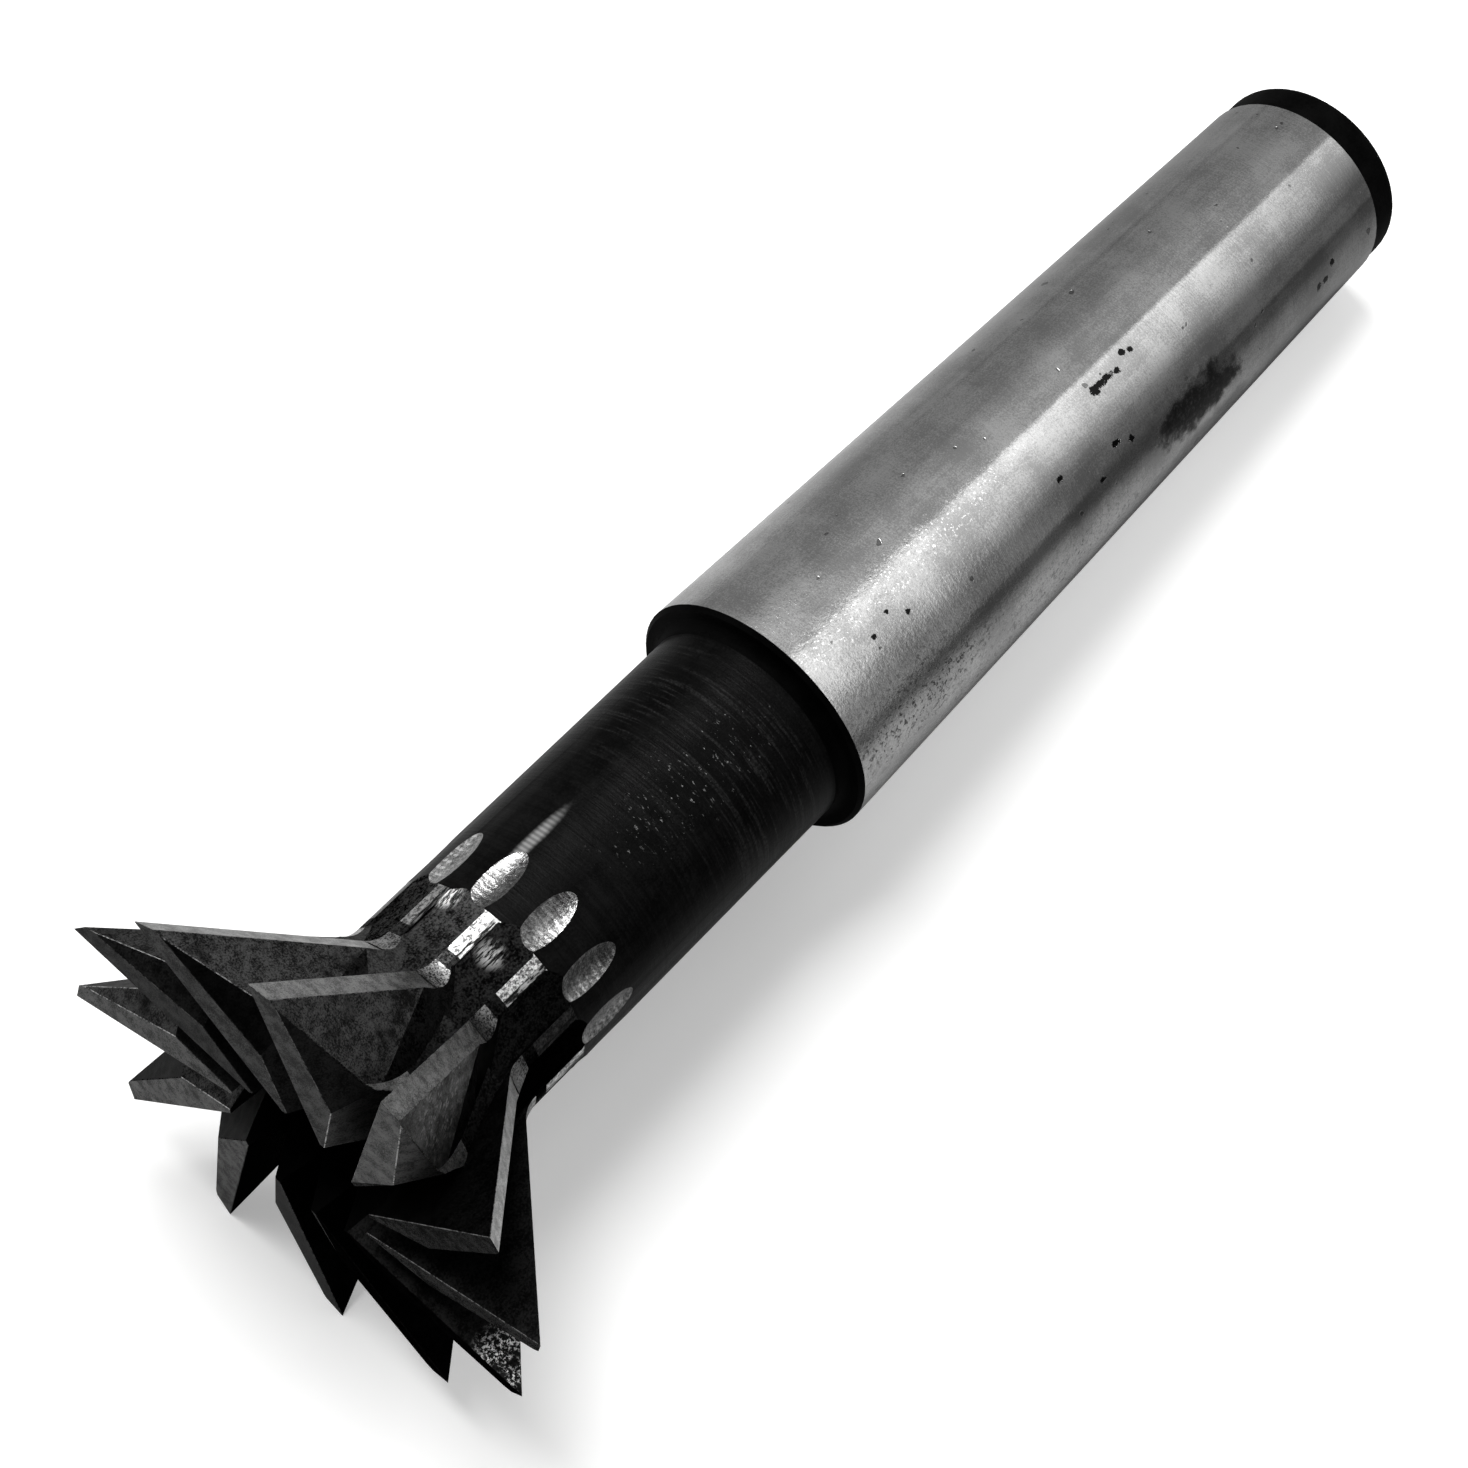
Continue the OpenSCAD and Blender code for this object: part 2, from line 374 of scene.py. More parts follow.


# Cylindrically ground taper: fine rings, faint tarnish, rust specks, painted highlight glints, pits and one dark stain
def ground_taper():
    made, w, shader, place = start_material("ground_taper")
    tool = place.outputs["Tool"]
    along = place.outputs["Along"]
    rings = group_in(w, GRINDING_RINGS, Vector=place.outputs["Wrapped"], Lines_per_mm=6.0, Length=5.0)
    cloud = group_in(w, MOTTLING, Vector=tool, Blotch_size_mm=6.0, Grain_size_mm=0.16, Grain=1.1)
    streaks = group_in(w, GRINDING_RINGS, Vector=place.outputs["Wrapped"], Lines_per_mm=0.1, Length=16.0)
    shade = w.math("ADD", w.math("MULTIPLY", rings.outputs["Lines"], 0.3), w.math("MULTIPLY", cloud.outputs["Shade"], 0.4))
    shade = w.math("ADD", shade, w.math("MULTIPLY", streaks.outputs["Lines"], 0.35))
    colour = w.blend(w.span(shade, 0.3, 0.8), grey(0.31), grey(0.52))
    fine = w.noise(tool, 2.2, 4.0, 0.75)
    coarse = w.noise(tool, 0.55, 5.0, 0.7)
    lower_side = w.math(
        "MAXIMUM",
        patch(w, place, coarse, 64.0, -60.0, 11.0, 17.0, 1.4, 0.6),
        w.math("MULTIPLY", patch(w, place, coarse, 84.0, -84.0, 18.0, 24.0, 1.2, 0.6), 0.6),
    )
    specks = w.math("MULTIPLY", w.span(fine, 0.53, 0.6), lower_side)
    colour = w.blend(w.math("MULTIPLY", specks, 0.85), colour, grey(0.04))
    # Painted highlight: white glints in a patch beside the bright streak near the shoulder
    glint_patch = patch(w, place, coarse, 68.0, -11.0, 15.0, 8.0, 1.0, 0.7)
    glints = w.math("MULTIPLY", w.span(w.noise(tool, 3.0, 2.0, 0.7), 0.6, 0.66), glint_patch)
    colour = w.blend(w.math("MULTIPLY", glints, 0.85), colour, grey(1.0))
    stain = patch(w, place, coarse, 106.5, -59.0, 6.2, 13.0, 2.2, 0.3)
    stain_tail = patch(w, place, coarse, 99.5, -50.0, 9.0, 8.0, 2.4, 0.6)
    stain_rim = patch(w, place, coarse, 109.0, -84.0, 6.0, 9.0, 2.6, 0.5)
    stained = w.math("MAXIMUM", stain, w.math("MULTIPLY", w.math("MAXIMUM", stain_tail, stain_rim), 0.5))
    colour = w.blend(w.math("MULTIPLY", stained, w.span(fine, 0.2, 0.55, 0.75, 0.97)), colour, grey(0.006))
    pits = 0.0
    for along_mm, turn_deg, long_mm, wide_deg in PITS:
        spot = patch(w, place, fine, along_mm, turn_deg, long_mm, wide_deg, 3.4, 0.1)
        pits = w.math("MAXIMUM", pits, spot)
    freckles = w.math("MULTIPLY", w.span(w.noise(tool, 0.8, 1.0, 0.4), 0.755, 0.775), 0.6)
    pitted = w.math("MAXIMUM", pits, freckles)
    colour = w.blend(pitted, colour, grey(0.01))
    w.feed(shader.inputs["Base Color"], colour)
    shader.inputs["Metallic"].default_value = 1.0
    dull = w.math("MAXIMUM", stained, specks)
    w.feed(shader.inputs["Roughness"], w.math("ADD", w.span(along, 58.0, 88.0, 0.17, 0.1), w.math("MULTIPLY", dull, 0.3)))
    coarse_end = w.span(along, 56.0, 92.0, 1.0, 0.2)
    sparkle = w.math("MULTIPLY", w.noise(tool, 2.4, 3.0, 0.7), w.math("MULTIPLY", coarse_end, 2.4))
    height = w.math("ADD", w.math("MULTIPLY", rings.outputs["Lines"], 0.4), sparkle)
    height = w.math("SUBTRACT", height, w.math("MULTIPLY", pitted, 2.0))
    bump(w, shader, height, 0.012)
    return made


# Neck under black oxide, with turning rings, light scratches and a rubbed streak
def oxide_neck():
    made, w, shader, place = start_material("oxide_neck")
    tool = place.outputs["Tool"]
    along = place.outputs["Along"]
    rings = group_in(w, GRINDING_RINGS, Vector=place.outputs["Wrapped"], Lines_per_mm=2.8, Length=1.6)
    cloud = group_in(w, MOTTLING, Vector=tool, Blotch_size_mm=2.4, Grain_size_mm=0.22, Grain=1.0)
    fine = w.noise(tool, 1.6, 4.0, 0.7)
    shade = w.math("MULTIPLY", w.span(rings.outputs["Lines"], 0.3, 0.7, 0.3, 1.0), cloud.outputs["Shade"])
    colour = w.blend(shade, grey(0.0006), grey(0.005))
    turned_part = w.math("MULTIPLY", w.span(along, 34.0, 46.0), w.span(along, 50.0, 54.0, 1.0, 0.0))
    ridges = w.math("MULTIPLY", w.span(rings.outputs["Lines"], 0.5, 0.66), turned_part)
    colour = w.blend(w.math("MULTIPLY", ridges, w.span(cloud.outputs["Grain"], 0.35, 0.65, 0.1, 0.7)), colour, grey(0.022))
    rubbed = patch(w, place, fine, 42.5, -12.0, 7.5, 15.0, 2.6, 0.6)
    ticks = group_in(w, GRINDING_RINGS, Vector=place.outputs["Wrapped"], Lines_per_mm=4.2, Length=13.0)
    scratches = w.math("MULTIPLY", w.span(ticks.outputs["Lines"], 0.61, 0.7), rubbed)
    scratches = w.math("MULTIPLY", scratches, w.span(cloud.outputs["Shade"], 0.35, 0.6))
    colour = w.blend(w.math("MULTIPLY", scratches, 0.85), colour, grey(0.26))
    streak = patch(w, place, fine, 29.3, 19.2, 3.1, 2.7, 0.5, 0.6)
    ribbed = w.span(w.math("SINE", w.math("MULTIPLY", along, 13.0)), -1.0, 1.0, 0.55, 1.0)
    colour = w.blend(w.math("MULTIPLY", streak, ribbed), colour, grey(0.22))
    w.feed(shader.inputs["Base Color"], colour)
    shader.inputs["Roughness"].default_value = 0.33
    shader.inputs["Specular IOR Level"].default_value = 0.035
    bump(w, shader, w.math("ADD", rings.outputs["Lines"], w.math("MULTIPLY", cloud.outputs["Grain"], 0.6)), 0.03)
    return made


# Black oxide on the shoulder, the end band and inside the recess
def black_oxide(name, low, high, rough):
    made, w, shader, place = start_material(name)
    cloud = group_in(w, MOTTLING, Vector=place.outputs["Tool"], Blotch_size_mm=3.0, Grain_size_mm=0.3, Grain=0.5)
    rings = group_in(w, GRINDING_RINGS, Vector=place.outputs["Wrapped"], Lines_per_mm=4.0, Length=2.0)
    w.feed(shader.inputs["Base Color"], w.blend(cloud.outputs["Shade"], grey(low), grey(high)))
    shader.inputs["Roughness"].default_value = rough
    shader.inputs["Specular IOR Level"].default_value = 0.02
    shader.inputs["Specular Tint"].default_value = grey(0.3)
    bump(w, shader, w.math("ADD", cloud.outputs["Grain"], rings.outputs["Lines"]), 0.01)
    return made


def near_spot(w, tool, spot, reach, fade):
    away = w.add("ShaderNodeVectorMath", {0: tool, 1: spot}, operation="DISTANCE")
    return w.span(away.outputs["Value"], reach, reach + fade, 1.0, 0.0)


# Short scratches that a hand wheel left on the back of one tooth
def wheel_strokes(w, tool):
    turned = w.add("ShaderNodeMapping", {"Vector": tool, "Rotation": (0, 0.6, 0.5), "Scale": (3.4, 3.4, 0.5)})
    strokes = w.span(w.noise(turned.outputs[0], 1.0, 3.0, 0.7), 0.52, 0.66)
    return w.math("MULTIPLY", strokes, near_spot(w, tool, SCRATCHED_BACK, 3.0, 4.5))


# Bright broken grain beside the tip of one tooth
def chipped_grain(w, tool):
    grain = w.span(w.noise(tool, 3.2, 3.0, 0.8), 0.5, 0.6)
    clumps = w.span(w.noise(tool, 0.7, 2.0, 0.6), 0.34, 0.5)
    return w.math("MULTIPLY", w.math("MULTIPLY", grain, clumps), near_spot(w, tool, GRAINY_TIP, 1.8, 2.0))


# Painted highlights: bright lengthwise strokes on the run-outs between two leaves
def runout_highlight_strokes(w, tool):
    drawn = w.add("ShaderNodeMapping", {"Vector": tool, "Scale": (3.0, 3.0, 0.45)})
    strokes = w.span(w.noise(drawn.outputs[0], 1.0, 3.0, 0.75), 0.44, 0.56)
    places = [near_spot(w, tool, spot, 0.3, 1.3) for spot in RUNOUT_HIGHLIGHT_SPOTS]
    return w.math("MULTIPLY", strokes, w.math("MAXIMUM", *places))


# Hard steel of the teeth: bare metal showing through mottled dark tarnish; each tooth is lightened or darkened by its
# painted light-and-shade tone
def tooth_steel(
    name, low, high, blotch, grain, amount, rough, depth=0.006, tarnish=0.0, graze=1.0, bare=None, strokes=None, stroke_shade=0.3, gloss=0.03
):
    made, w, shader, place = start_material(name)
    tool = place.outputs["Tool"]
    cloud = group_in(w, MOTTLING, Vector=tool, Blotch_size_mm=blotch, Grain_size_mm=grain, Grain=amount)
    shade = cloud.outputs["Shade"]
    colour = w.blend(shade, grey(low), grey(high))
    if strokes:
        colour = w.blend(strokes(w, tool), colour, grey(stroke_shade))
    if tarnish:
        dark = w.span(w.noise(tool, 0.28, 5.0, 0.65), 0.5, 0.68)
        colour = w.blend(w.math("MULTIPLY", dark, tarnish), colour, grey(low * 0.25))
    w.feed(shader.inputs["Base Color"], painted_light_toned(w, colour))
    if bare:
        # Painted light and shade: the tooth's tone also scales how much bare metal shows
        painted_light_tone = w.add("ShaderNodeAttribute", attribute_name="painted_light_tone", attribute_type="GEOMETRY")
        showing = w.span(shade, 0.15, 0.85, bare[0], bare[1])
        w.feed(shader.inputs["Metallic"], w.math("MULTIPLY", showing, painted_light_tone.outputs["Fac"], clamp=True))
    else:
        shader.inputs["Metallic"].default_value = 1.0
    shader.inputs["Specular IOR Level"].default_value = gloss
    shader.inputs["Specular Tint"].default_value = grey(graze)
    w.feed(shader.inputs["Roughness"], w.span(cloud.outputs["Grain"], 0.3, 0.7, rough - 0.06, rough + 0.06))
    bump(w, shader, cloud.outputs["Grain"], depth)
    return made


# Bare wheel-ground steel of the strips: bright coarse grain
def bare_strip():
    made, w, shader, place = start_material("bare_strip")
    tool = place.outputs["Tool"]
    grain = w.noise(tool, 4.0, 3.0, 0.8)
    spots = w.noise(tool, 1.2, 3.0, 0.6)
    shade = w.math("ADD", w.math("MULTIPLY", grain, 0.9), w.math("MULTIPLY", spots, 0.3))
    bright = w.blend(w.span(shade, 0.5, 0.7), grey(0.12), grey(0.95))
    beside = w.span(place.outputs["Aside"], 11.6, 12.2)
    drawn = w.add("ShaderNodeMapping", {"Vector": tool, "Scale": (3.4, 3.4, 0.6)})
    side = w.blend(w.span(w.noise(drawn.outputs[0], 1.0, 3.0, 0.7), 0.47, 0.6), grey(0.015), grey(0.5))
    w.feed(shader.inputs["Base Color"], painted_light_toned(w, w.blend(beside, bright, side)))
    shader.inputs["Metallic"].default_value = 1.0
    shader.inputs["Roughness"].default_value = 0.34
    bump(w, shader, w.math("ADD", grain, spots), 0.06)
    return made


# Hollow leaves behind the teeth: chatter ribs, a grey bed and a painted highlight on one flank of each hollow, where
# light would be reflected
def ground_leaf():
    made, w, shader, place = start_material("ground_leaf")
    tool = place.outputs["Tool"]
    along = place.outputs["Along"]
    grain = w.noise(tool, 3.4, 3.0, 0.75)
    spots = w.noise(tool, 0.9, 3.0, 0.6)
    wander = w.math("MULTIPLY", w.math("SUBTRACT", spots, 0.5), 7.0)
    # Painted highlight: a mask by place in the leaf whitens the side of the hollow that would reflect the light
    lit_side = w.math("MULTIPLY", place.outputs["Aside"], w.span(place.outputs["Turn"], 0.0, 3.0, 1.0, -1.0))
    painted_lit_flank = w.span(w.math("ADD", lit_side, wander), -3.5, 6.5)
    ribs = w.span(w.math("SINE", w.math("ADD", w.math("MULTIPLY", along, 8.5), wander)), -0.2, 1.0, 0.35, 1.0)
    shade = w.math("ADD", w.math("MULTIPLY", grain, 0.8), w.math("MULTIPLY", spots, 0.35))
    light = w.math("MULTIPLY", w.span(shade, 0.42, 0.72, 0.12, 1.0), w.math("MULTIPLY", painted_lit_flank, ribs))
    bed = w.blend(w.span(shade, 0.45, 0.75), grey(0.1), grey(0.34))
    w.feed(shader.inputs["Base Color"], painted_light_toned(w, w.blend(light, bed, grey(1.0))))
    shader.inputs["Metallic"].default_value = 1.0
    shader.inputs["Roughness"].default_value = 0.24
    bump(w, shader, w.math("ADD", grain, w.math("MULTIPLY", ribs, 0.4)), 0.05)
    return made


FINISHES = [
    ("taper", ground_taper()),
    ("neck", oxide_neck()),
    ("shoulder", black_oxide("oxide_shoulder", 0.0006, 0.002, 0.55)),
    ("band", black_oxide("oxide_band", 0.0008, 0.003, 0.5)),
    ("recess", black_oxide("oxide_recess", 0.001, 0.003, 0.6)),
    ("side_land", tooth_steel("side_land", 0.08, 0.3, 1.0, 0.13, 1.2, 0.34)),
    ("end_land", tooth_steel("end_land", 0.006, 0.06, 1.3, 0.14, 1.5, 0.4, 0.01, 0.6, bare=(0.15, 1.1))),
    # Painted shade: the end lands over the shadowed floor, near-black and without gloss
    ("shaded_land", tooth_steel("shaded_land", 0.004, 0.06, 1.3, 0.14, 1.5, 0.45, 0.01, 0.6, graze=0.3, bare=(0.05, 0.6), gloss=0.0)),
    ("back", tooth_steel("tooth_back", 0.014, 0.14, 1.1, 0.15, 1.7, 0.46, 0.014, 0.85, graze=0.6, strokes=wheel_strokes)),
    ("face", tooth_steel("rake_face", 0.003, 0.016, 1.8, 0.2, 1.4, 0.5, graze=0.12, strokes=chipped_grain, stroke_shade=0.95)),
    ("fall", tooth_steel("end_fall", 0.004, 0.04, 1.1, 0.15, 1.5, 0.46, 0.012, 0.6, bare=(0.1, 1.1))),
    ("floor", tooth_steel("flute_floor", 0.003, 0.03, 1.2, 0.2, 1.5, 0.45, 0.014, graze=0.2)),
    # Run-outs carry the painted highlight strokes
    ("runout", tooth_steel("runout", 0.003, 0.055, 0.9, 0.2, 1.7, 0.36, 0.03, graze=0.3, strokes=runout_highlight_strokes, stroke_shade=0.95)),
    ("heel", tooth_steel("heel", 0.02, 0.08, 0.8, 0.15, 1.4, 0.4, 0.01, graze=0.5)),
    ("root", tooth_steel("root_fillet", 0.04, 0.62, 0.8, 0.15, 2.4, 0.32, 0.02)),
    ("strip", bare_strip()),
    ("leaf", ground_leaf()),
    ("edge", tooth_steel("worn_edge", 0.02, 0.3, 0.9, 0.2, 1.8, 0.35, graze=0.4)),
    ("thread", tooth_steel("thread_flank", 0.05, 0.12, 1.0, 0.2, 0.8, 0.4)),
]
SLOT = {name: number for number, (name, _) in enumerate(FINISHES)}


# The body is the CAD node's own shape, merged, with a finish for every ground surface
def in_tooth(point, turn):
    """The point turned into the frame of the nearest tooth, whose mark lies at this turn."""
    angle = math.atan2(point.y, point.x)
    radius = math.hypot(point.x, point.y)
    aside = (angle - turn + PITCH / 2) % PITCH - PITCH / 2
    return radius * math.cos(aside), radius * math.sin(aside), point.z


def off_leaf(point):
    x, y, z = in_tooth(point, LEAF_TURN)
    ring = math.hypot(x - (NECK_RADIUS - LEAF_DEPTH + LEAF_WHEEL), z - LEAF_Z)
    return abs(math.hypot(ring - (LEAF_WHEEL - LEAF_CROWN), y) - LEAF_CROWN)


def off_runout(point):
    x, y, z = in_tooth(point, RUNOUT_TURN)
    floor = abs(math.hypot(x - (NECK_RADIUS - RUNOUT_DEPTH + FLUTE_WHEEL), z - WHEEL_Z) - FLUTE_WHEEL)
    return min(floor, abs(abs(y) - RUNOUT_HALF) + (0 if CONE_LENGTH - 2 < z < CONE_LENGTH + 9 else 1))


def off_floor(point):
    best = 1.0
    for step in (-1, 0, 1, 2):
        angle = math.atan2(point.y, point.x)
        radius = math.hypot(point.x, point.y)
        aside = angle % PITCH - step * PITCH
        x, y = radius * math.cos(aside), radius * math.sin(aside)
        if -16.1 < y < 7.1:
            ring = math.hypot(x - (NECK_RADIUS - FLOOR_DEPTH + FLUTE_WHEEL), point.z - WHEEL_Z)
            best = min(best, abs(ring - FLUTE_WHEEL))
    return best


def off_root(point):
    radius = math.hypot(point.x, point.y)
    return abs(math.hypot(radius - NECK_RADIUS - ROOT_RADIUS, point.z - ROOT_START) - ROOT_RADIUS)


def off_neck(point):
    return abs(math.hypot(point.x, point.y) - NECK_RADIUS)


def finish_of(face):
    points = [TO_TOOL @ v.co for v in face.verts]
    centre = TO_TOOL @ face.calc_center_median()
    direction = (TO_TOOL.to_3x3() @ face.normal).normalized()
    along = centre.z
    radius = math.hypot(centre.x, centre.y)
    out = Vector((centre.x, centre.y, 0)).normalized()
    n_out = direction.dot(out)
    n_round = direction.dot(Vector((-out.y, out.x, 0)))
    n_along = direction.z
    if along > SHOULDER + 1 and radius < 7.6 and along < OVERALL - 0.02:
        return "thread" if radius < 6.3 and along < BORE_TOP + 0.3 else "band"
    if along > BAND_START - 0.02:
        return "band"
    if along > SHOULDER + SHOULDER_CHAMFER - 0.02 and radius > 8.5:
        return "taper"
    if along > SHOULDER - 1.05 and radius > 9.9:
        return "shoulder"
    if along < 12.5 and radius < RECESS_RADIUS + 0.03 and n_out < 0.1 and abs(n_along) < 0.05 and abs(n_round) < 0.3:
        return "recess"
    if radius < 4.5 and along < 20:
        return "recess"

    def lies(off, reach=0.014):
        return max(off(v) for v in points) < reach

    if along > CONE_LENGTH - 3.2 and n_out > 0.5:
        if lies(off_neck) and abs(n_along) < 0.02:
            return "neck"
        if along > CONE_LENGTH + 4.8 and lies(off_leaf):
            return "leaf"
        if lies(off_root) and n_out > 0.6 and along < ROOT_START + 0.1:
            return "root"
    if n_round < -0.72 and along < CONE_LENGTH + 0.2:
        return "face"
    if n_along < -0.93:
        return "end_land"
    if n_along < -0.3:
        return "fall"
    if along < CONE_LENGTH and n_out > 0.5 and n_along > 0.55 and abs(n_round) < 0.3:
        return "side_land"
    if lies(off_floor) and along < CONE_LENGTH + 2:
        return "floor"
    if 11 < along < CONE_LENGTH + 2 and n_out > 0.75 and 0.3 < n_round < 0.55 and n_along > 0.3:
        return "heel"
    if along < CONE_LENGTH and n_round > 0.45 and n_out > 0.4:
        return "back"
    if along > CONE_LENGTH - 3 and radius > 9:
        return "runout"
    return "floor"


# Degrees from a tooth's tip to the middle of each of its surfaces
BEHIND_TIP = {
    "face": 5.0,
    "side_land": 5.0,
    "end_land": 10.0,
    "shaded_land": 10.0,
    "fall": 17.0,
    "back": 15.0,
    "heel": 22.0,
    "root": 41.0,
    "strip": 41.0,
    "leaf": 28.5,
    "runout": 25.0,
}


def tooth_of(face, name):
    """Number of the tooth that carries this face, from 0 at the lowest pair onwards."""
    centre = TO_TOOL @ face.calc_center_median()
    turn = math.degrees(math.atan2(centre.y, centre.x) - LEAD) - BEHIND_TIP.get(name, 0.0)
    return round(turn / 30.0) % TEETH


def cut_strips(bm):
    for height in (STRIP_START, STRIP_END):
        near = [f for f in bm.faces if abs((TO_TOOL @ f.calc_center_median()).z - height) < 40]
        parts = list({v for f in near for v in f.verts}) + list({e for f in near for e in f.edges}) + near
        bmesh.ops.bisect_plane(bm, geom=parts, plane_co=TOOL @ Vector((0, 0, height)), plane_no=axis, dist=1e-7)


def tap_hole(bm):
    """The wall of the drawbar hole is redrawn with the flanks of its coarse M12 thread."""
    wall = []
    for face in bm.faces:
        spots = [TO_TOOL @ v.co for v in face.verts]
        if all(abs(math.hypot(v.x, v.y) - BORE_RADIUS) < 0.02 and BORE_BOTTOM - 0.1 < v.z < BORE_TOP + 0.1 for v in spots):
            wall.append(face)
    if not wall:
        return
    top = max((TO_TOOL @ v.co).z for f in wall for v in f.verts)
    foot = min((TO_TOOL @ v.co).z for f in wall for v in f.verts)
    bmesh.ops.delete(bm, geom=wall, context="FACES")
    rims = {}
    for level in (top, foot):
        rim = []
        for vert in bm.verts:
            spot = TO_TOOL @ vert.co
            if abs(spot.z - level) < 0.02 and abs(math.hypot(spot.x, spot.y) - BORE_RADIUS) < 0.02:
                rim.append((math.atan2(spot.y, spot.x), vert))
        rims[level] = [vert for _, vert in sorted(rim, key=lambda pair: pair[0])]
    if len(rims[top]) != len(rims[foot]):
        return
    angles = [math.atan2((TO_TOOL @ v.co).y, (TO_TOOL @ v.co).x) for v in rims[top]]
    rows = round((top - foot) / THREAD_PITCH * 8)
    rings = [rims[top]]
    for row in range(1, rows):
        z = top - (top - foot) * row / rows
        ring = []
        for angle in angles:
            turns = (z / THREAD_PITCH + angle / (2 * math.pi)) % 1.0
            groove = max(0.0, 1.0 - abs(turns - 0.5) * 2.3)
            cut = min(1.0, (top - z) / 0.8, max(0.0, (z - foot - 4.0) / 1.5))
            r = BORE_RADIUS + THREAD_DEPTH * groove * cut
            ring.append(bm.verts.new(TOOL @ Vector((r * math.cos(angle), r * math.sin(angle), z))))
        rings.append(ring)
    rings.append(rims[foot])
    for upper, lower in zip(rings, rings[1:]):
        for i, vert in enumerate(upper):
            after = (i + 1) % len(upper)
            bm.faces.new((vert, lower[i], lower[after], upper[after]))


def beside_runout(face):
    """The narrow part of the neck between two run-outs: dull at its foot, bare above it."""
    centre = TO_TOOL @ face.calc_center_median()
    if not CONE_LENGTH - 1 < centre.z < STRIP_END:
        return "neck"
    share = ((math.atan2(centre.y, centre.x) - LEAD) / PITCH) % 1.0
    if not 0.1 < share < 0.52:
        return "neck"
    return "strip" if centre.z > STRIP_START else "runout"


FLAT = ("side_land", "end_land", "shaded_land", "back", "face", "fall", "heel")

# Painted shade: teeth whose end lands mirror the shadowed floor under the head, given a near-black land without gloss
SHADED_LAND_TEETH = (7, 8, 9, 10)

# Pairs of ground surfaces whose shared edge is worn bright
KEEN = (
    {"face", "side_land"},
    {"face", "end_land"},
    {"face", "shaded_land"},
    {"side_land", "back"},
    {"side_land", "end_land"},
    {"end_land", "fall"},
    {"side_land", "fall"},
    {"side_land", "floor"},
    {"fall", "back"},
)

# Painted light and shade: brightness of each kind of surface on single teeth, for how the light falls on it; 1 where
# none is given
PAINTED_LIGHT_TONES = {
    "side_land": {4: 1.6, 5: 1.5, 6: 2.2, 7: 2.2},
    "end_land": {0: 1.6, 1: 1.75, 2: 1.6, 3: 0.4, 4: 0.72, 5: 0.77, 6: 1.8, 11: 0.12},
    "shaded_land": {7: 0.9, 8: 1.4, 9: 0.03, 10: 0.03},
    "back": {2: 0.65, 3: 0.7, 4: 0.9, 5: 1.2, 6: 1.35},
    "face": {10: 0.2, 11: 0.3, 0: 0.3},
    "fall": {0: 0.1, 1: 0.2, 2: 2.2, 3: 0.3, 4: 0.1, 5: 0.45, 6: 2.2, 7: 0.3},
    "heel": {3: 1.5, 4: 1.3, 5: 0.3, 6: 0.1, 7: 0.15},
    "root": {3: 0.56, 4: 0.88, 5: 0.29, 6: 0.28},
    "strip": {2: 0.25, 3: 0.55, 4: 0.85, 5: 0.9, 6: 0.05, 7: 1.0, 8: 0.2},
    "leaf": {2: 0.5, 3: 1.3, 4: 0.8, 5: 0.6, 6: 0.63, 7: 0.43, 8: 0.7},
    "runout": {3: 1.6, 4: 1.0, 5: 0.25, 6: 0.3, 7: 0.1},
}


def make_body():
    node = frame["nodes"]["dovetail_cutter"]
    mesh = node.data.copy()
    mesh.materials.clear()
    for _, material in FINISHES:
        mesh.materials.append(material)
    body = bpy.data.objects.new("cutter_body", mesh)
    bpy.context.scene.collection.objects.link(body)
    bm = bmesh.new()
    bm.from_mesh(mesh)
    bmesh.ops.remove_doubles(bm, verts=bm.verts, dist=0.002 * MM)
    bmesh.ops.dissolve_degenerate(bm, edges=bm.edges, dist=0.001 * MM)
    cut_strips(bm)
    tap_hole(bm)
    bm.normal_update()
    painted_light_tone = bm.faces.layers.float.new("painted_light_tone")
    for face in bm.faces:
        name = finish_of(face)
        if name == "neck":
            name = beside_runout(face)
        if name == "end_land" and tooth_of(face, name) in SHADED_LAND_TEETH:
            name = "shaded_land"
        face.material_index = SLOT[name]
    flat = {SLOT[name] for name in FLAT}
    plain = [f for f in bm.faces if f.material_index in flat]
    verts = list({v for f in plain for v in f.verts})
    edges = list({e for f in plain for e in f.edges})
    bmesh.ops.dissolve_limit(bm, angle_limit=math.radians(0.4), use_dissolve_boundaries=False, verts=verts, edges=edges, delimit={"MATERIAL"})
    bm.normal_update()
    kinds = [name for name, _ in FINISHES]
    # Painted light and shade: each face takes its tooth's tone from the table
    for face in bm.faces:
        name = kinds[face.material_index]
        face[painted_light_tone] = PAINTED_LIGHT_TONES.get(name, {}).get(tooth_of(face, name), 1.0)
    keen = []
    for edge in bm.edges:
        if len(edge.link_faces) != 2 or not edge.is_convex:
            continue
        pair = {kinds[f.material_index] for f in edge.link_faces}
        if pair in KEEN and edge.calc_length() > 0.25 * MM and edge.calc_face_angle(0.0) > math.radians(15):
            keen.append(edge)
    bmesh.ops.bevel(
        bm,
        geom=keen,
        offset=EDGE_WIDTH * MM,
        offset_type="OFFSET",
        affect="EDGES",
        segments=1,
        profile=0.5,
        clamp_overlap=False,
        material=SLOT["edge"],
    )
    bm.normal_update()
    flat.add(SLOT["edge"])
    for face in bm.faces:
        face.smooth = True
        if kinds[face.material_index] == "edge" and face[painted_light_tone] == 0.0:
            face[painted_light_tone] = 1.0
    for edge in bm.edges:
        if len(edge.link_faces) == 2:
            pair = {f.material_index for f in edge.link_faces}
            limit = 3 if pair & flat and len(pair) > 1 else 12
            edge.smooth = edge.calc_face_angle(0.0) < math.radians(limit)
        else:
            edge.smooth = False
    bm.to_mesh(mesh)
    bm.free()
    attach(body, "root")
    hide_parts("dovetail_cutter")
    return body


EDGE_WIDTH = 0.05

body = make_body()


